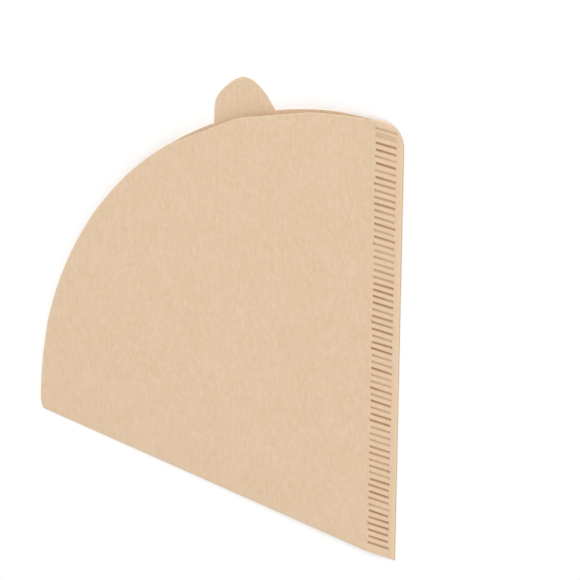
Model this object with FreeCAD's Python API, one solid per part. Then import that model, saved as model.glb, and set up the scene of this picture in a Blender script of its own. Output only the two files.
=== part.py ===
import FreeCAD, Part
import math
import os

# A cone coffee filter of unbleached paper, folded flat: one sheet, creased along a straight fold into a front ply
# and a back ply, with its two straight edges crimped together into a seam strip. It lies on its back ply.
# X runs along the fold towards the seam, Y along the seam towards the mouth, Z up out of the front ply.
# While it is being built, the corner where the fold meets the seam's outer edge is at X = Y = 0.

# Driving dimensions, in millimetres and degrees

PAPER = 0.2  # thickness of one ply
REACH = 118.0  # from the corner to the mouth, along the fold and along the seam
MOUTH_SHIFT = 5.5  # the mouth is an arc whose centre lies this far past the corner, both ways
MOUTH_RADIUS = math.hypot(REACH + MOUTH_SHIFT, MOUTH_SHIFT)
MOUTH_START = 15.0  # where the arc begins, in degrees round it from the fold
MOUTH_END = 90.0 - math.degrees(math.atan2(MOUTH_SHIFT, REACH + MOUTH_SHIFT))
FACET_ANGLES = (51.1, 63.7, 74.7)  # the front ply's mouth runs straight between these
FACET_ROUND = 15.0  # the middle one's corner
SEAM_END_ROUND = 5.5
FOLD_LENGTH = 116.62
# The rim from the fold to the start of the arc, drawn in a little and rounded off: angle, and how far inside the arc
FOLD_END = ((3.34, 0.67), (4.15, 0.45), (8.0, 0.36), (MOUTH_START, 0.0))

CREASE_GAP = 0.2  # between the plies where they turn round the fold
CREASE_RADIUS = PAPER + CREASE_GAP / 2

STRIP_WIDTH = 7.55
STRIP_THICK = 2 * PAPER
STRIP_LIFT = 0.2  # the strip's plain paper over the surface that the filter lies on
PINCH_WIDTH = 1.0  # where the two plies run into the strip

CRIMP_PITCH = 1.785
CRIMP_COUNT = 62
CRIMP_FIRST = 2.94  # from the fold to the first crimp
CRIMP_DRIFT = 0.22  # how far the crimps stray from an even pitch, towards the fold at both ends of the seam
CRIMP_DEPTH = STRIP_LIFT  # each crimp is pressed through both plies, down to the surface below
CRIMP_MOUTH = 0.9  # width of a crimp at the strip's face
CRIMP_FLOOR = 0.3  # width of a crimp at its bottom
CRIMP_MARGIN = 1.65  # plain paper between the crimps and the strip's outer edge
END_CRIMPS = ((113.4, 0.3), (114.1, 0.3), (115.4, 0.45))  # close, shallow crimps: place and share of the full depth

BELLY = 2.1  # how far the front ply springs up from the back ply at the mouth
FOLD_EASE = 14.0  # angle over which the ply rises from the fold
SEAM_EASE = 6.5  # angle over which it rises from the strip
BELLY_STEPS = 18

TAB_ANGLE = 63.7  # from the fold to the middle of the pull tab, round the mouth's arc
TAB_ROOT = 2.0  # the tab's outline starts this far inside the mouth
TAB_ROOT_ROUND = 0.9
# The tab's rim, from the fold side round to the seam side: across the tab, and out from the mouth's arc
TAB_RIM = (
    (-11.6, -TAB_ROOT),
    (-9.6, 1.6),
    (-8.4, 3.9),
    (-6.3, 6.0),
    (-2.7, 7.75),
    (1.4, 8.95),
    (4.6, 9.0),
    (7.5, 7.2),
    (9.4, 4.1),
    (10.2, 1.4),
    (11.2, -TAB_ROOT),
)

FULL_ANGLE = 90.0
FRONT_LOW = PAPER + CREASE_GAP  # underside of the front ply at the fold
STRIP_TOP = STRIP_LIFT + STRIP_THICK
UPWARDS = FreeCAD.Vector(0, 0, 1)


def spot(radius, angle, height=0.0):
    """A point by its distance from the corner and its angle from the fold."""
    turn = math.radians(angle)
    return FreeCAD.Vector(-radius * math.cos(turn), radius * math.sin(turn), height)


def rim_spot(angle, out=0.0):
    """A point on the mouth's arc, or so far outside it."""
    return spot(MOUTH_RADIUS + out, angle) + FreeCAD.Vector(MOUTH_SHIFT, -MOUTH_SHIFT, 0)


def line(start, end):
    return Part.LineSegment(start, end).toShape()


def mouth_arc(start, end):
    return Part.Arc(rim_spot(start), rim_spot((start + end) / 2), rim_spot(end)).toShape()


def rounded(solid, radius, corner):
    """The solid with the upright edge that stands nearest a corner rounded off."""
    upright = [e for e in solid.Edges if abs(e.tangentAt(e.FirstParameter).z) > 0.99]
    return solid.makeFillet(radius, [min(upright, key=lambda e: e.valueAt(e.FirstParameter).distanceToPoint(corner))])


def ply_prism(mouth_edges, thickness):
    """A quarter disc with the given mouth, its two outer corners rounded."""
    corner = FreeCAD.Vector(0, 0, 0)
    fold_end = FreeCAD.Vector(-FOLD_LENGTH, 0, 0)
    seam_end = rim_spot(MOUTH_END)
    rim = [rim_spot(angle, -inside) for angle, inside in FOLD_END]
    end_round = Part.Arc(fold_end, rim[0], rim[1]).toShape()
    drawn_in = Part.Arc(rim[1], rim[2], rim[3]).toShape()
    edges = [line(corner, fold_end), end_round, drawn_in, *mouth_edges, line(seam_end, corner)]
    prism = Part.Face(Part.Wire(edges)).extrude(UPWARDS * thickness)
    return rounded(prism, SEAM_END_ROUND, seam_end)


def front_mouth():
    """The front ply's mouth: an arc that two straight cuts flatten under the tab."""
    corners = [rim_spot(angle) for angle in FACET_ANGLES]
    return [
        mouth_arc(MOUTH_START, FACET_ANGLES[0]),
        line(corners[0], corners[1]),
        line(corners[1], corners[2]),
        mouth_arc(FACET_ANGLES[2], MOUTH_END),
    ]


def beyond_strip(height):
    """The space over the plies, up to where they run into the strip and the fold."""
    width = REACH - STRIP_WIDTH - PINCH_WIDTH
    place = FreeCAD.Vector(-REACH, CREASE_RADIUS, 0)
    return Part.makeBox(width, 2 * REACH, height, place)


def tab_point(across, out):
    """A point of the tab, across it towards the seam and out from the mouth's arc."""
    return rim_spot(TAB_ANGLE, out) + spot(across, TAB_ANGLE + 90)


def back_ply():
    """The flat ply that the filter lies on, with the pull tab on its mouth."""
    flat = ply_prism([mouth_arc(MOUTH_START, MOUTH_END)], PAPER).common(beyond_strip(PAPER))
    rim = Part.BSplineCurve()
    rim.interpolate([tab_point(across, out) for across, out in TAB_RIM])
    root = line(rim.EndPoint, rim.StartPoint)
    tab = Part.Face(Part.Wire([rim.toShape(), root])).extrude(UPWARDS * PAPER)
    flat = flat.fuse(tab).removeSplitter()
    for across in (TAB_RIM[0][0], TAB_RIM[-1][0]):
        flat = rounded(flat, TAB_ROOT_ROUND, tab_point(across, 0))
    return flat


def lift(angle):
    """How far the front ply has sprung up at the mouth, at an angle from the fold."""
    off_fold = 1 - math.exp(-angle / FOLD_EASE)
    off_strip = 1 - math.exp(-(FULL_ANGLE - angle) / SEAM_EASE)
    return BELLY * off_fold * off_strip


def belly_section(reach):
    """The front ply's section square to its middle line, at a reach along it from the cone's tip.

    The tip is where the strip's inner line meets the fold. Every section is the same curve at another size, so the
    ply is a true cone that unrolls flat, and only its thickness is the same all over.
    """
    under, over = [], []
    for step in range(BELLY_STEPS + 1):
        angle = FULL_ANGLE * step / BELLY_STEPS
        radius = reach / math.cos(math.radians(angle - FULL_ANGLE / 2))
        point = spot(radius, angle) + FreeCAD.Vector(-STRIP_WIDTH, CREASE_RADIUS, FRONT_LOW)
        point.z += radius * lift(angle) / REACH
        under.append(point)
        over.append(point + UPWARDS * PAPER)
    curves = []
    for points in (under, over):
        curve = Part.BSplineCurve()
        curve.interpolate(points)
        curves.append(curve.toShape())
    return Part.Wire([curves[0], line(under[-1], over[-1]), curves[1], line(over[0], under[0])])


def front_ply(outline):
    """The sprung ply, cut to its outline."""
    near = PINCH_WIDTH / math.sqrt(2)  # the pinch beside the strip covers the tip inside this reach
    ply = Part.makeLoft([belly_section(near), belly_section(REACH * 1.1)], True, True)
    return ply.common(outline)


def half_ring(outer, inner, height, length):
    """A bar along X from the seam's edge, with the section of paper that is turned back round an edge at Y = 0."""
    centre = FreeCAD.Vector(0, outer, height)
    arcs = []
    for radius in (outer, inner):
        low = centre - UPWARDS * radius
        side = centre - FreeCAD.Vector(0, radius, 0)
        high = centre + UPWARDS * radius
        arcs.append((low, side, high))
    outside = Part.Arc(*arcs[0]).toShape()
    if inner == 0:
        section = Part.Wire([outside, line(arcs[0][2], arcs[0][0])])
    else:
        inside = Part.Arc(*arcs[1]).toShape()
        section = Part.Wire([outside, line(arcs[0][2], arcs[1][2]), inside, line(arcs[1][0], arcs[0][0])])
    return Part.Face(section).extrude(FreeCAD.Vector(-length, 0, 0))


def fold(outline):
    """The turn of the paper along the fold, open inside up to the pinch and pressed solid in the strip."""
    turn = half_ring(CREASE_RADIUS, CREASE_GAP / 2, CREASE_RADIUS, REACH)
    turn.translate(FreeCAD.Vector(-STRIP_WIDTH, 0, 0))
    pressed = half_ring(STRIP_THICK / 2, 0, STRIP_LIFT + STRIP_THICK / 2, STRIP_WIDTH)
    return [turn.common(outline), pressed.common(outline)]


def crimp_places():
    """Where each crimp lies along the seam, and its depth."""
    places = []
    for number in range(CRIMP_COUNT):
        drift = -CRIMP_DRIFT * math.cos(math.tau * (number + 0.5) / CRIMP_COUNT)
        places.append((CRIMP_FIRST + CRIMP_PITCH * number + drift, CRIMP_DEPTH))
    return places + [(place, CRIMP_DEPTH * share) for place, share in END_CRIMPS]


def crimped_band():
    """The strip's section along the seam, two plies pressed down together at each crimp, carried across the strip."""
    shape = [(STRIP_THICK / 2, 0.0)]
    for place, depth in crimp_places():
        slope = CRIMP_MOUTH / 2 * depth / CRIMP_DEPTH
        floor = CRIMP_FLOOR / 2 * depth / CRIMP_DEPTH
        shape += [(place - slope, 0.0), (place - floor, -depth), (place + floor, -depth), (place + slope, 0.0)]
    shape.append((REACH, 0.0))
    top = [FreeCAD.Vector(-STRIP_WIDTH, along, STRIP_TOP + drop) for along, drop in shape]
    bottom = [FreeCAD.Vector(-STRIP_WIDTH, along, STRIP_LIFT + drop) for along, drop in reversed(shape)]
    section = Part.Face(Part.makePolygon([*top, *bottom, top[0]]))
    return section.extrude(FreeCAD.Vector(STRIP_WIDTH - CRIMP_MARGIN, 0, 0))


def plain_bar(corners):
    """A bar along the seam with a section given across and up."""
    start = [FreeCAD.Vector(across, STRIP_THICK / 2, up) for across, up in corners]
    section = Part.Face(Part.makePolygon([*start, start[0]]))
    return section.extrude(FreeCAD.Vector(0, REACH, 0))


def seam_strip(outline):
    """The crimped band, its plain outer margin, and the pinch where the two plies run into it."""
    margin = plain_bar(
        [
            (-CRIMP_MARGIN, STRIP_LIFT),
            (0, STRIP_LIFT),
            (0, STRIP_TOP),
            (-CRIMP_MARGIN, STRIP_TOP),
        ]
    )
    pinch = plain_bar(
        [
            (-STRIP_WIDTH - PINCH_WIDTH, 0),
            (-STRIP_WIDTH, STRIP_LIFT),
            (-STRIP_WIDTH, STRIP_TOP),
            (-STRIP_WIDTH - PINCH_WIDTH, STRIP_TOP),
        ]
    )
    return [piece.common(outline) for piece in (crimped_band(), margin, pinch)]


def folded_filter():
    """The whole sheet as one solid, its origin under the middle of its box."""
    outline = ply_prism(front_mouth(), PAPER * 10 + BELLY)
    outline = rounded(outline, FACET_ROUND, rim_spot(FACET_ANGLES[1]))
    pieces = [front_ply(outline), *fold(outline), *seam_strip(outline)]
    sheet = back_ply().multiFuse(pieces).removeSplitter()
    box = sheet.optimalBoundingBox(False)
    sheet.translate(FreeCAD.Vector(-box.Center.x, -box.Center.y, -box.ZMin))
    return sheet.Solids[0] if len(sheet.Solids) == 1 else sheet


def main():
    os.makedirs("parts", exist_ok=True)
    sheet = folded_filter()
    sheet.exportStep("parts/folded_filter.step")
    box = sheet.optimalBoundingBox(False)
    print("solids", len(sheet.Solids), "valid", sheet.isValid(), "faces", len(sheet.Faces))
    print("size", round(box.XLength, 2), round(box.YLength, 2), round(box.ZLength, 2))
    print("volume", round(sheet.Volume, 1), "low corner", round(box.XMin, 3), round(box.YMin, 3), round(box.ZMin, 3))


main()
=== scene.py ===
import math
import random
from collections import Counter
import bpy
from mathutils import Matrix, Vector, noise


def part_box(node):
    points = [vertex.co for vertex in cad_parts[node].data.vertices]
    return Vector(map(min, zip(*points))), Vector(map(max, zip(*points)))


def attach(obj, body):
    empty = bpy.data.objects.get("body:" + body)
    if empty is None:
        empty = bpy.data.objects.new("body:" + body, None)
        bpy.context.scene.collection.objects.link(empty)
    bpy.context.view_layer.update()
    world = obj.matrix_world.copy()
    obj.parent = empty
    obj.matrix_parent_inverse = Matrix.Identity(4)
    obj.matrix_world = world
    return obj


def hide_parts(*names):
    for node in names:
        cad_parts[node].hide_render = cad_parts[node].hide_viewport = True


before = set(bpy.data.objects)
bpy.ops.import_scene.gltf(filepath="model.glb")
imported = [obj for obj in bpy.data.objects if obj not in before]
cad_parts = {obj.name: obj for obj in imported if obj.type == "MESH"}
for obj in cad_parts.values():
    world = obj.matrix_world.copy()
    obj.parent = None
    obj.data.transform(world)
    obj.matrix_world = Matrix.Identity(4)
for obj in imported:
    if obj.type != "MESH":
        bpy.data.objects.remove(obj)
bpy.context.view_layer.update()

# A cone coffee filter of unbleached paper, folded flat, lying on its back ply. The sheet is made
# as the real one is: cut flat as a half disc with a pull tab, folded in two, crimped along its
# seam, trimmed round at both ends of its mouth, and then given its thickness.
# While it is worked, its corner, where the fold meets the seam's outer edge, is at the origin,
# with X along the fold and Y along the seam. Lengths are in metres.

MM = 0.001

node_low, node_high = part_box("folded_filter")
SEAM_GAP = 0.02 * MM  # between the seam's edge and the side of the solid's box
CORNER = Vector((node_high.x - SEAM_GAP, node_low.y, node_low.z))

# The cut

REACH = 117.97 * MM  # from the corner to the mouth, along the fold and along the seam
MOUTH_SHIFT = 5.5 * MM  # the mouth's arc has its centre this far past the corner, both ways
MOUTH_RADIUS = math.hypot(REACH + MOUTH_SHIFT, MOUTH_SHIFT)
RIM_STEPS = 1080
# The front ply's rim runs straight between these, in degrees round the arc from the fold
FACET_ANGLES = (51.1, 63.7, 74.7)
FACET_TRIM = 0.15 * MM  # what the middle one's corner loses
# Towards the fold the mouth draws in from its arc: angle round the arc, and how far inside it
FOLD_TRIMS = ((11.0, 0.3 * MM), (8.0, 0.38 * MM), (5.0, 0.47 * MM))
FOLD_END_ROUND = 6.0 * MM
FOLD_END_RISE = 2.9 * MM  # the round's centre over the fold, so the rim meets the fold at an angle
SEAM_END_ROUND = 5.5 * MM
ROUND_CUTS = 10
CUT_SLACK = 1e-7  # far under a paper's thickness
ANGLE_SLACK = 0.01

TAB_ANGLE = 63.7
TAB_SPREAD = 5.0  # the tab's foot reaches this many degrees to each side
# The tab's rim in millimetres, from the fold side round to the seam side: across the tab, and out
# from the mouth
TAB_RIM = (
    (-9.6, 1.6),
    (-8.4, 3.9),
    (-6.3, 6.0),
    (-2.7, 7.75),
    (1.4, 8.95),
    (4.6, 9.0),
    (7.5, 7.2),
    (9.4, 4.1),
    (10.2, 1.4),
)

# The fold, the belly and the strip

PAPER = 0.2 * MM
PLY_LOW = PAPER / 2 + 0.01 * MM  # the middle of the back ply's paper, over the floor
FRONT_OVER_BACK = 0.4 * MM  # between the middles of the two plies at the fold
STRIP_OVER = PAPER * 1.04  # the same in the strip, where the plies touch
FOLD_INSET = 0.02 * MM  # between the outside of the fold and the side of the solid's box
STRIP_WIDTH = 7.55 * MM
STRIP_RISE = 0.98 * MM  # the strip slopes up to this, and the fold sinks from there to its far end
PINCH_WIDTH = 1.0 * MM  # where the two plies run into the strip
SAG = 18.0 * MM  # how far from the fold and the strip the back ply reaches the floor
BELLY = 1.4 * MM  # how far the front ply springs up at the mouth
FOLD_EASE = 14.0  # degrees over which it rises from the fold
SEAM_EASE = 6.5  # degrees over which it rises from the strip
COCKLE = 0.05 * MM  # how far the paper wanders from its smooth form
COCKLE_SIZE = 22.0 * MM
COCKLE_EASE = 12.0 * MM  # how far from the fold and the strip it wanders freely
FRONT_COCKLE, BACK_COCKLE = 0.05, 0.4  # where each ply's wander is read
SHARP_ANGLE = 60.0

# The crimps

CRIMP_PITCH = 1.785 * MM
CRIMP_COUNT = 62
CRIMP_FIRST = 2.94 * MM
CRIMP_DRIFT = 0.22 * MM  # how far the crimps drift off an even pitch halfway along the seam
CRIMP_MARGIN = 1.65 * MM  # plain paper outside them
CRIMP_DEPTH = 0.17 * MM
CRIMP_WIDTH = 0.45 * MM  # half the width of a pressed line
CRIMP_SLOPE = 0.75  # the share of that half which slopes
CRIMP_END = 0.15 * MM  # over which a crimp's end slopes
CRIMP_REACH = 0.2 * MM  # past its ends, beyond which nothing is pressed
LIP_WIDTH = 0.73 * MM  # half the width over the paper that is pushed up beside it
LIP_PLACE = CRIMP_WIDTH * 1.15
LIP_HEIGHT = 0.05 * MM
# Shallow crimps at the mouth's end: place, and share of the full depth
END_CRIMPS = ((113.4 * MM, 0.3), (114.1 * MM, 0.3), (115.4 * MM, 0.45))
LEAST_SHARE, SHARE_SPREAD, SHARE_BEND = 0.52, 0.62, 1.3  # how the shares of the depth are spread
CRIMP_STRAY = 0.06 * MM  # how far one strays from its place, along the seam
CRIMP_LEAN = 0.02  # the slope of the most slanted one
INNER_STRAY, OUTER_STRAY = 0.25 * MM, 0.3 * MM  # how far a crimp's two ends stray inwards
LEAST_SWING, MOST_SWING = -0.4, 0.1  # how much deeper it grows from its inner end to its outer one
MOST_TIP = 0.5  # how much deeper its ends may be
INNER_TIP, OUTER_TIP = 0.12, 0.1  # the shares of its length that such ends take
LIT_SIDE_FADE = 0.35  # what the painted groove shade loses on its side towards the fold, whose wall faces the lamp
LIT_SIDE_WIDTH = CRIMP_WIDTH * 0.8

# The cells that the sheet bends in

CELL = 1.0 * MM
CELLS_END = REACH * 1.1  # past the mouth and the tab
ACROSS = (1, 0, 0)
ALONG = (0, 1, 0)
FOLD_CUTS = (0.0, 0.35, 0.7, 1.0, 2.0)  # in quarter turns of the paper at the fold
EDGE_CUT = 0.6 * MM  # from the seam's edge
CRIMP_END_CUTS = (0.12 * MM, 0.3 * MM, 0.45 * MM, 0.8 * MM)  # inwards from the crimps' ends
PAST_CRIMP_CUTS = (-0.16 * MM, 0.0)
CRIMP_MIDDLE_CUTS = (-1.5 * MM, 0.0, 1.5 * MM)
CRIMP_CUTS = (LIP_WIDTH, LIP_PLACE, CRIMP_WIDTH * 0.4)  # to both sides of each crimp
PINCH_CUTS = (0.25, 0.5, 0.75)

# The strip's lighter paper: partly its paler pressed paper, partly a painted highlight on its
# ridges and seam edge, with painted light over the shade where the plies pinch into it

TONE_AND_LIGHT_PLAIN = 0.14  # in the plain margin, from 0 to 1
TONE_AND_LIGHT_CRIMPED = 0.21  # added where it is crimped: a painted highlight on the lit ridges between crimps
TONE_AND_LIGHT_EDGE = 0.45  # added at the seam's edge: a painted highlight
TONE_AND_LIGHT_STEP = 0.9 * MM  # width of the change between crimped and plain paper
TONE_AND_LIGHT_EDGE_WIDTH = 1.5 * MM
TONE_AND_LIGHT_START = 1.1 * MM  # it begins this far before the strip, painting light over the shade where the plies pinch into it
TONE_AND_LIGHT_EASE = 1.4 * MM
TONE_AND_LIGHT_AT_MOUTH = 0.3  # what is left of it at the mouth
TONE_AND_LIGHT_END = 2.0 * MM  # how far from the mouth it begins to come back
TONE_AND_LIGHT_FADE = 4.0 * MM


def smooth(value):
    """0 below 0, 1 above 1, and an even step between."""
    value = min(max(value, 0.0), 1.0)
    return value * value * (3 - 2 * value)


def heading(angle, side=1):
    """The direction out of the mouth's arc at an angle from the fold. Side -1 is the back ply."""
    turn = math.radians(angle)
    return Vector((-math.cos(turn), side * math.sin(turn), 0))


def arc_centre(side=1):
    return Vector((MOUTH_SHIFT, -side * MOUTH_SHIFT, 0))


def rim_point(out, angle, side=1):
    """A point of the flat sheet, by how far it is outside the mouth's arc and its angle."""
    return arc_centre(side) + heading(angle, side) * (MOUTH_RADIUS + out)


def along_curve(points, share):
    """The point at a share of the way along a smooth curve through the given points."""
    place = share * (len(points) - 1)
    start = min(int(place), len(points) - 2)
    t = place - start
    before, first, second, after = (
        Vector(points[min(max(start + step, 0), len(points) - 1)]) for step in (-1, 0, 1, 2)
    )
    bend = (2 * before - 5 * first + 4 * second - after) * t * t
    twist = (3 * first - before - 3 * second + after) * t * t * t
    return (2 * first + (second - before) * t + bend + twist) / 2


def start_edit(piece):
    bpy.ops.object.select_all(action="DESELECT")
    piece.select_set(True)
    bpy.context.view_layer.objects.active = piece
    bpy.ops.object.mode_set(mode="EDIT")


def cut(place, normal, drop=False):
    """Cuts all that shows across a plane. With drop, what lies on the normal's side goes."""
    bpy.ops.mesh.select_all(action="SELECT")
    bpy.ops.mesh.bisect(plane_co=place, plane_no=normal, clear_outer=drop, threshold=CUT_SLACK)


def add_half_disc():
    """The flat sheet before its tab: about a half disc, its straight side the two seam edges."""
    bpy.ops.object.select_all(action="DESELECT")
    bpy.ops.mesh.primitive_circle_add(vertices=RIM_STEPS, radius=MOUTH_RADIUS, fill_type="NGON")
    piece = bpy.context.object
    piece.name = "filter_sheet"
    start_edit(piece)
    bpy.ops.transform.translate(value=arc_centre())
    cut((0, 0, 0), (1, 0, 0), drop=True)
    cut((0, 0, 0), (0, -1, 0), drop=True)
    bpy.ops.mesh.select_all(action="SELECT")
    bpy.ops.mesh.symmetrize(direction="POSITIVE_Y")
    for start, end in zip(FACET_ANGLES, FACET_ANGLES[1:]):
        cut(rim_point(0, start), heading((start + end) / 2), drop=True)
    cut(rim_point(-FACET_TRIM, FACET_ANGLES[1]), heading(FACET_ANGLES[1]), drop=True)
    for angle, inside in FOLD_TRIMS:
        for side in (-1, 1):
            cut(rim_point(-inside, angle, side), heading(angle, side), drop=True)
    bpy.ops.object.mode_set(mode="OBJECT")
    return piece


def tab_place(share):
    """A point of the tab's rim, on the back ply of the flat sheet."""
    foot = math.radians(TAB_SPREAD)
    reach, sink = MOUTH_RADIUS * math.sin(foot), MOUTH_RADIUS * (math.cos(foot) - 1)
    rim = [(across * MM, out * MM) for across, out in TAB_RIM]
    across, out = along_curve([(-reach, sink), *rim, (reach, sink)], share)
    return rim_point(out, TAB_ANGLE, side=-1) + heading(TAB_ANGLE + 90, side=-1) * across


def add_tab(piece):
    """Draws the pull tab out of the back ply's rim."""
    def turned(point):
        place = point.co - arc_centre(side=-1)
        return math.degrees(math.atan2(-place.y, -place.x))

    for point in piece.data.vertices:
        on_rim = (point.co - arc_centre(side=-1)).length > MOUTH_RADIUS - CUT_SLACK
        point.select = on_rim and abs(turned(point) - TAB_ANGLE) < TAB_SPREAD + ANGLE_SLACK
    for edge in piece.data.edges:
        edge.select = all(piece.data.vertices[number].select for number in edge.vertices)
    start_edit(piece)
    bpy.ops.mesh.select_mode(type="EDGE")
    outward = heading(TAB_ANGLE, side=-1) * MM
    bpy.ops.mesh.extrude_region_move(TRANSFORM_OT_translate={"value": outward})
    bpy.ops.object.mode_set(mode="OBJECT")
    drawn = [point for point in piece.data.vertices if point.select]
    drawn.sort(key=turned)
    for number, point in enumerate(drawn):
        point.co = tab_place(number / (len(drawn) - 1))
    start_edit(piece)
    bpy.ops.mesh.select_mode(type="FACE")
    bpy.ops.mesh.select_all(action="SELECT")
    bpy.ops.mesh.dissolve_faces()
    bpy.ops.mesh.select_mode(type="VERT")
    bpy.ops.object.mode_set(mode="OBJECT")


def crimps():
    """Each crimp: its place along the seam, its depth and how that varies, its lean and ends."""
    chance = random.Random(5)
    rows = []
    for number in range(CRIMP_COUNT):
        drift = -CRIMP_DRIFT * math.cos(math.tau * (number + 0.5) / CRIMP_COUNT)
        share = LEAST_SHARE + SHARE_SPREAD * chance.random() ** SHARE_BEND
        rows.append((CRIMP_FIRST + CRIMP_PITCH * number + drift, share))
    rows += END_CRIMPS
    made = []
    for place, share in rows:
        made.append(
            {
                "place": place + chance.uniform(-CRIMP_STRAY, CRIMP_STRAY),
                "depth": share,
                "swing": chance.uniform(LEAST_SWING, MOST_SWING),
                "tip": chance.uniform(0.0, MOST_TIP),
                "lean": chance.uniform(-CRIMP_LEAN, CRIMP_LEAN),
                "inner": -STRIP_WIDTH + chance.uniform(0.0, INNER_STRAY),
                "outer": -CRIMP_MARGIN - chance.uniform(0.0, OUTER_STRAY),
            }
        )
    return made


CRIMPS = crimps()


def show_only(piece, wanted):
    """Edit mode with only the faces that are wanted showing."""
    bpy.ops.mesh.reveal(select=False)
    bpy.ops.object.mode_set(mode="OBJECT")
    for face in piece.data.polygons:
        face.select = wanted(face.center)
    start_edit(piece)
    bpy.ops.mesh.select_mode(type="FACE")
    bpy.ops.mesh.hide(unselected=True)


def cut_cells(piece):
    """Cuts the flat sheet into cells that can bend, fine at the fold and at each crimp."""
    start_edit(piece)
    cut((-STRIP_WIDTH, 0, 0), ACROSS)
    turn = FRONT_OVER_BACK / 2 * math.pi / 2
    for share in FOLD_CUTS:
        for side in (-1, 1):
            cut((0, side * turn * share, 0), ALONG)
    show_only(piece, lambda place: place.x > -STRIP_WIDTH)
    cut((-EDGE_CUT, 0, 0), ACROSS)
    for line in CRIMP_END_CUTS:
        cut((-STRIP_WIDTH + line, 0, 0), ACROSS)
    for line in (*PAST_CRIMP_CUTS, *CRIMP_END_CUTS):
        cut((-CRIMP_MARGIN - line, 0, 0), ACROSS)
    for line in CRIMP_MIDDLE_CUTS:
        cut((-STRIP_WIDTH / 2 - CRIMP_MARGIN / 2 + line, 0, 0), ACROSS)
    for crimp in CRIMPS:
        for line in (*CRIMP_CUTS, *(-line for line in CRIMP_CUTS)):
            for side in (-1, 1):
                cut((0, side * (crimp["place"] + line), 0), ALONG)
    show_only(piece, lambda place: place.x < -STRIP_WIDTH)
    for share in PINCH_CUTS:
        cut((-STRIP_WIDTH - share * PINCH_WIDTH, 0, 0), ACROSS)
    for step in range(int(CELLS_END / CELL)):
        cut((-STRIP_WIDTH - PINCH_WIDTH - CELL * step, 0, 0), ACROSS)
        for side in (-1, 1):
            cut((0, side * CELL * (step + 1), 0), ALONG)
    bpy.ops.mesh.reveal(select=False)
    bpy.ops.mesh.select_mode(type="VERT")
    bpy.ops.object.mode_set(mode="OBJECT")


def pressed_and_shaded(x, y):
    """How far the strip sinks at a place, and how dark its grooves are painted there, 0 to 1:
    painted shade, partly the darker crimped paper.
    """
    drop, shade_and_tone = 0.0, 0.0
    for crimp in CRIMPS:
        above = y - crimp["place"] - crimp["lean"] * (x + STRIP_WIDTH / 2)
        off = abs(above)
        inside, outside = x - crimp["inner"], crimp["outer"] - x
        if off >= LIP_WIDTH or min(inside, outside) <= -CRIMP_REACH:
            continue
        ends = smooth(inside / CRIMP_END + 1) * smooth(outside / CRIMP_END + 1)
        across = inside / (crimp["outer"] - crimp["inner"])
        tips = smooth(1 - across / INNER_TIP) + smooth((across + OUTER_TIP - 1) / OUTER_TIP) / 2
        share = crimp["depth"] * (1 + crimp["swing"] * (across - 0.5)) * (1 + crimp["tip"] * tips)
        share = min(share, 1.0) * ends
        if off < CRIMP_WIDTH:
            floor = smooth((CRIMP_WIDTH - off) / (CRIMP_SLOPE * CRIMP_WIDTH))
            drop -= CRIMP_DEPTH * share * floor
            # The painted groove shade is lighter on the wall towards the fold, which faces the
            # lamp.
            fade = LIT_SIDE_FADE * smooth(0.5 - above / LIT_SIDE_WIDTH)
            shade_and_tone = max(shade_and_tone, share * floor * (1 - fade))
        lip = 1 - abs(off - LIP_PLACE) / (LIP_WIDTH - CRIMP_WIDTH)
        drop += LIP_HEIGHT * share * smooth(lip)
    return drop, shade_and_tone


def rise(x):
    """How far the fold lies over the floor at a place across, highest where the strip begins."""
    if x > -STRIP_WIDTH:
        return STRIP_RISE * -x / STRIP_WIDTH
    return STRIP_RISE * (REACH + x) / (REACH - STRIP_WIDTH)


def lift(x, y):
    """How far the front ply has sprung up off the back ply.

    It is a cone with its tip where the strip meets the fold.
    """
    along_fold, off_fold = -STRIP_WIDTH - x, y - FRONT_OVER_BACK / 2 - PAPER / 2
    if along_fold <= 0 or off_fold <= 0:
        return 0.0
    angle = math.degrees(math.atan2(off_fold, along_fold))
    off_strip = 1 - math.exp((angle - 90) / SEAM_EASE)
    at_mouth = BELLY * (1 - math.exp(-angle / FOLD_EASE)) * off_strip
    return at_mouth * math.hypot(along_fold, off_fold) / REACH


def folded(flat):
    """Where a point of the flat sheet goes when it is folded and crimped, and how dark its painted
    groove shade is there.
    """
    pinch = smooth((flat.x + STRIP_WIDTH + PINCH_WIDTH) / PINCH_WIDTH)
    apart = FRONT_OVER_BACK + (STRIP_OVER - FRONT_OVER_BACK) * pinch
    low = PLY_LOW + rise(flat.x)
    turn = apart / 2
    edge = turn + PAPER / 2 + FOLD_INSET
    front = flat.y > 0
    straight = abs(flat.y) - turn * math.pi / 2
    if straight <= 0:
        angle = flat.y / turn
        y, z = edge - turn * math.cos(angle), low + turn + turn * math.sin(angle)
        return Vector((flat.x, y, z)), 0.0
    place = Vector((flat.x, edge + straight, low + apart if front else low))
    layer = FRONT_COCKLE if front else BACK_COCKLE
    wander = noise.noise(Vector((place.x, place.y, layer)) / COCKLE_SIZE)
    off_strip = -(flat.x + STRIP_WIDTH)
    ease = smooth(straight / COCKLE_EASE) * smooth(off_strip / COCKLE_EASE)
    if front:
        place.z += lift(place.x, place.y) - COCKLE * (1 - wander) / 2 * ease
    else:
        sag = smooth(straight / SAG) * smooth(off_strip / SAG)
        place.z += COCKLE * (1 + wander) / 2 * ease - rise(flat.x) * sag
    drop, shade_and_tone = pressed_and_shaded(place.x, place.y) if flat.x > -STRIP_WIDTH - MM else (0.0, 0.0)
    place.z += drop
    return place, shade_and_tone


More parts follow.
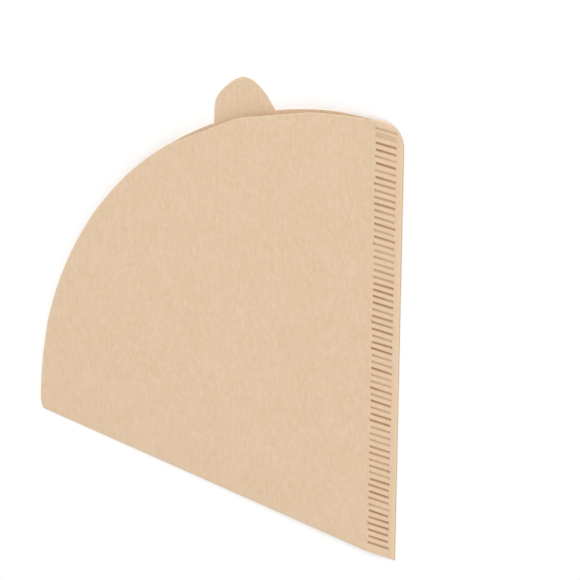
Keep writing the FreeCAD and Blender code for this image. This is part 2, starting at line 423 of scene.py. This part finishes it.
def strip_tone_and_light(flat):
    """How much of the strip's lighter tone a point of the flat sheet has: partly paler paper,
    partly painted light.
    """
    crimped = smooth((-flat.x - CRIMP_MARGIN) / TONE_AND_LIGHT_STEP)
    edge = smooth(1 + flat.x / TONE_AND_LIGHT_EDGE_WIDTH)
    begun = smooth((flat.x + STRIP_WIDTH + TONE_AND_LIGHT_START) / TONE_AND_LIGHT_EASE)
    off_mouth = smooth((REACH - TONE_AND_LIGHT_END - abs(flat.y)) / TONE_AND_LIGHT_FADE)
    begun *= TONE_AND_LIGHT_AT_MOUTH + (1 - TONE_AND_LIGHT_AT_MOUTH) * off_mouth
    return (TONE_AND_LIGHT_PLAIN + TONE_AND_LIGHT_CRIMPED * crimped + TONE_AND_LIGHT_EDGE * edge) * begun


def fold_sheet(piece):
    """Folds the flat sheet in two, presses its crimps, and keeps where its grooves' painted shade
    and the strip's lighter tone go.
    """
    tone_and_light_marks = piece.data.attributes.new("pressed_and_shaded", "FLOAT", "POINT")
    strip_tone_and_light_values = piece.data.attributes.new("strip_tone_and_light", "FLOAT", "POINT")
    for number, point in enumerate(piece.data.vertices):
        flat = point.co.copy()
        point.co, tone_and_light_marks.data[number].value = folded(flat)
        strip_tone_and_light_values.data[number].value = strip_tone_and_light(flat)


def trim_round(piece, centre, radius, first, last):
    """Trims a corner of the folded sheet round, with cuts turning from one heading to another."""
    start_edit(piece)
    for step in range(ROUND_CUTS):
        outward = heading(first + (last - first) * (step + 0.5) / ROUND_CUTS)
        cut(centre + outward * radius, outward, drop=True)
    bpy.ops.object.mode_set(mode="OBJECT")


def round_seam_end(piece):
    """Rounds the mouth's end at the seam, from the seam's straight edge to the mouth's arc."""
    radius = SEAM_END_ROUND
    along = math.sqrt((MOUTH_RADIUS - radius) ** 2 - (MOUTH_SHIFT + radius) ** 2)
    arc_end = 90 - math.degrees(math.atan2(MOUTH_SHIFT + radius, along))
    centre = Vector((-radius, along - MOUTH_SHIFT, 0))
    trim_round(piece, centre, radius, 180, arc_end)


def round_fold_end(piece):
    """Rounds the mouth's end at the fold, from the last trim down to where it meets the fold."""
    angle, inside = FOLD_TRIMS[-1]
    turn = math.radians(angle)
    risen = (FOLD_END_RISE + MOUTH_SHIFT) * math.sin(turn)
    out = (MOUTH_RADIUS - inside - FOLD_END_ROUND - risen) / math.cos(turn)
    centre = Vector((MOUTH_SHIFT - out, FOLD_END_RISE, 0))
    at_fold = -math.degrees(math.asin(FOLD_END_RISE / FOLD_END_ROUND))
    trim_round(piece, centre, FOLD_END_ROUND, at_fold, angle)


def mark_cut_edge(piece):
    """Keeps which points lie on the sheet's cut edge, where a painted highlight lightens the
    paper.
    """
    uses = Counter(key for face in piece.data.polygons for key in face.edge_keys)
    tone_and_light_marks = piece.data.attributes.new("cut_edge", "FLOAT", "POINT")
    for key, faces in uses.items():
        if faces == 1:
            for number in key:
                tone_and_light_marks.data[number].value = 1.0


def give_thickness(piece):
    start_edit(piece)
    bpy.ops.mesh.select_all(action="SELECT")
    bpy.ops.transform.translate(value=CORNER)
    bpy.ops.object.mode_set(mode="OBJECT")
    skin = piece.modifiers.new("paper", "SOLIDIFY")
    skin.thickness = PAPER
    skin.offset = 0
    skin.use_even_offset = True
    bpy.ops.object.modifier_apply(modifier=skin.name)
    bpy.ops.object.shade_smooth_by_angle(angle=math.radians(SHARP_ANGLE))


def linear(code):
    """A colour given as sRGB hex, as the linear values that shaders take."""
    levels = [int(code[place : place + 2], 16) / 255 for place in (1, 3, 5)]
    return (*[v / 12.92 if v <= 0.04045 else ((v + 0.055) / 1.055) ** 2.4 for v in levels], 1.0)


def add_node(tree, kind, settings=None, **inputs):
    """A shader node with its settings, and each input set to a value or linked to an output.

    An input is given by its name, or by an i and its number.
    """
    node = tree.nodes.new(kind)
    for name, value in (settings or {}).items():
        setattr(node, name, value)
    for name, value in inputs.items():
        numbered = name[0] == "i" and name[1:].isdigit()
        socket = node.inputs[int(name[1:]) if numbered else name]
        if isinstance(value, bpy.types.NodeSocket):
            tree.links.new(value, socket)
        else:
            socket.default_value = value
    return node


def new_material(name):
    material = bpy.data.materials.new(name)
    material.use_nodes = True
    material.node_tree.nodes.clear()
    return material, material.node_tree


def unbleached_paper():
    """Unbleached filter paper, creped: dry and matte, warm tan, with clouds in its pulp.

    Pale fibres lie along the seam, and a few specks are darker. Real fibres are too fine to show,
    so they are drawn about 0.8 mm wide. In the crimps' grooves the paper is painted dark: painted
    shade, partly the darker crimped paper. Beside them the strip is painted lighter: partly its
    paler squeezed paper, partly painted highlight on its ridges and seam edge, and painted light
    over the shade where the plies pinch into it. Along the cut edges a painted highlight lightens
    it.
    """
    material, tree = new_material("unbleached_creped_filter_paper")
    place = add_node(tree, "ShaderNodeTexCoord").outputs["Object"]

    def cloud(size, detail, stretch=(1, 1, 1)):
        moved = add_node(tree, "ShaderNodeMapping", Vector=place, Scale=stretch).outputs[0]
        made = add_node(tree, "ShaderNodeTexNoise", Vector=moved, Scale=1 / size, Detail=detail)
        return made.outputs["Fac"]

    def spread(value, low, high, to_low=0.0, to_high=1.0):
        made = add_node(tree, "ShaderNodeMapRange", Value=value)
        limits = {"From Min": low, "From Max": high, "To Min": to_low, "To Max": to_high}
        for name, number in limits.items():
            made.inputs[name].default_value = number
        return made.outputs[0]

    def blend(amount, first, second):
        settings = {"data_type": "RGBA"}
        made = add_node(tree, "ShaderNodeMix", settings, Factor=amount, i6=first, i7=second)
        return made.outputs[2]

    def kept(name):
        return add_node(tree, "ShaderNodeAttribute", {"attribute_name": name}).outputs["Fac"]

    clouds = spread(cloud(7 * MM, 3), 0.35, 0.65)
    flocks = spread(cloud(1.1 * MM, 4), 0.3, 0.75, 0.0, 0.55)
    fibres = spread(cloud(0.8 * MM, 3, (1, 0.3, 1)), 0.4, 0.8, 0.0, 0.4)
    specks = spread(cloud(0.45 * MM, 1), 0.74, 0.8, 0.0, 0.5)
    colour = blend(clouds, linear("#E0C4A6"), linear("#E3C7AA"))
    colour = blend(flocks, colour, linear("#D3B694"))
    colour = blend(fibres, colour, linear("#EED5BB"))
    colour = blend(specks, colour, linear("#AE8A62"))
    # The strip's lighter tone: partly its paler pressed paper, partly a painted highlight on its
    # ridges and seam edge, and painted light over the pinch's shade.
    colour = blend(kept("strip_tone_and_light"), colour, linear("#F0CEAB"))
    # Painted shade in the crimps' grooves, partly the darker crimped paper.
    colour = blend(spread(kept("pressed_and_shaded"), 0.0, 1.0, 0.0, 0.98), colour, linear("#7C4212"))
    # Painted highlight along the cut edges.
    colour = blend(spread(kept("cut_edge"), 0.3, 1.0, 0.0, 0.6), colour, linear("#EFD6B8"))

    crepe, grain = cloud(1.8 * MM, 2), cloud(0.5 * MM, 4)
    relief = add_node(tree, "ShaderNodeMath", {"operation": "ADD"}, i0=grain, i1=crepe)
    height = relief.outputs[0]
    bump = add_node(tree, "ShaderNodeBump", Height=height, Strength=0.5, Distance=0.03 * MM)
    shader = add_node(tree, "ShaderNodeBsdfPrincipled", Normal=bump.outputs[0])
    tree.links.new(colour, shader.inputs["Base Color"])
    shader.inputs["Roughness"].default_value = 0.92
    shader.inputs["IOR"].default_value = 1.45
    shader.inputs["Specular IOR Level"].default_value = 0.3
    add_node(tree, "ShaderNodeOutputMaterial", Surface=shader.outputs[0])
    return material


FLOOR_SIZE = 6.0
FLOOR_DROP = 0.02 * MM
FLOOR_GLOW = 0.05  # brings the lit card up to white, for the camera alone


def add_floor():
    """A table top of matte white card under the filter, plain and without gloss."""
    bpy.ops.object.select_all(action="DESELECT")
    bpy.ops.mesh.primitive_plane_add(size=FLOOR_SIZE, location=(0, 0, -FLOOR_DROP))
    floor = bpy.context.object
    floor.name = "table_top"
    material, tree = new_material("matte_white_card")
    seen = add_node(tree, "ShaderNodeLightPath").outputs["Is Camera Ray"]
    glow = add_node(tree, "ShaderNodeMath", {"operation": "MULTIPLY"}, i0=seen, i1=FLOOR_GLOW)
    shader = add_node(tree, "ShaderNodeBsdfPrincipled")
    tree.links.new(glow.outputs[0], shader.inputs["Emission Strength"])
    shader.inputs["Base Color"].default_value = linear("#FBFBFA")
    shader.inputs["Emission Color"].default_value = linear("#FFFFFF")
    shader.inputs["Roughness"].default_value = 0.9
    add_node(tree, "ShaderNodeOutputMaterial", Surface=shader.outputs[0])
    floor.data.materials.append(material)


CAMERA_PLACE = Vector((632.5, 609.3, 797.4)) * MM  # from the filter's corner
CAMERA_AIM = Vector((-33.52, 63.44, 1.0)) * MM
SEAM_LEAN = 0.68  # degrees that the picture's upright is turned from the seam
FIELD = 0.12  # the picture's width over the distance to it
SENSOR_WIDTH = 36  # in millimetres
NEAREST = 0.01


def add_camera():
    data = bpy.data.cameras.new("camera")
    data.sensor_width = SENSOR_WIDTH
    data.lens = SENSOR_WIDTH / FIELD
    data.clip_start = NEAREST
    camera = bpy.data.objects.new("camera", data)
    bpy.context.scene.collection.objects.link(camera)
    back = (CAMERA_PLACE - CAMERA_AIM).normalized()
    lean = math.radians(SEAM_LEAN)
    upright = Vector((-math.sin(lean), math.cos(lean), 0))
    right = upright.cross(back).normalized()
    turn = Matrix((right, back.cross(right), back)).transposed().to_4x4()
    camera.matrix_world = Matrix.Translation(CORNER + CAMERA_PLACE) @ turn
    bpy.context.scene.camera = camera


SURROUND_LIGHT = 0.69  # on the filter, while the camera sees the surround at full white
LAMP_SIZE = 1.8
LAMP_POWER = 40.0
LAMP_PLACE = Vector((-0.2, 1.9, 2.05))


def add_lights():
    """An even white surround, and one broad lamp over the filter's mouth."""
    world = bpy.data.worlds.new("studio")
    world.use_nodes = True
    bpy.context.scene.world = world
    tree = world.node_tree
    seen = add_node(tree, "ShaderNodeLightPath").outputs["Is Camera Ray"]
    surround = tree.nodes["Background"]
    surround.inputs["Color"].default_value = linear("#FFFFFF")
    strength = add_node(tree, "ShaderNodeMapRange", Value=seen)
    strength.inputs["To Min"].default_value = SURROUND_LIGHT
    strength.inputs["To Max"].default_value = 1.0
    tree.links.new(strength.outputs[0], surround.inputs["Strength"])
    lamp_data = bpy.data.lights.new("softbox", "AREA")
    lamp_data.size = LAMP_SIZE
    lamp_data.energy = LAMP_POWER
    lamp = bpy.data.objects.new("softbox", lamp_data)
    bpy.context.scene.collection.objects.link(lamp)
    turn = LAMP_PLACE.to_track_quat("Z", "Y").to_matrix().to_4x4()
    lamp.matrix_world = Matrix.Translation(LAMP_PLACE) @ turn


sheet = add_half_disc()
add_tab(sheet)
cut_cells(sheet)
fold_sheet(sheet)
round_seam_end(sheet)
round_fold_end(sheet)
mark_cut_edge(sheet)
give_thickness(sheet)
sheet.data.materials.append(unbleached_paper())
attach(sheet, "root")
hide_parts("folded_filter")
add_floor()
add_camera()
add_lights()
bpy.context.scene.view_settings.view_transform = "Standard"
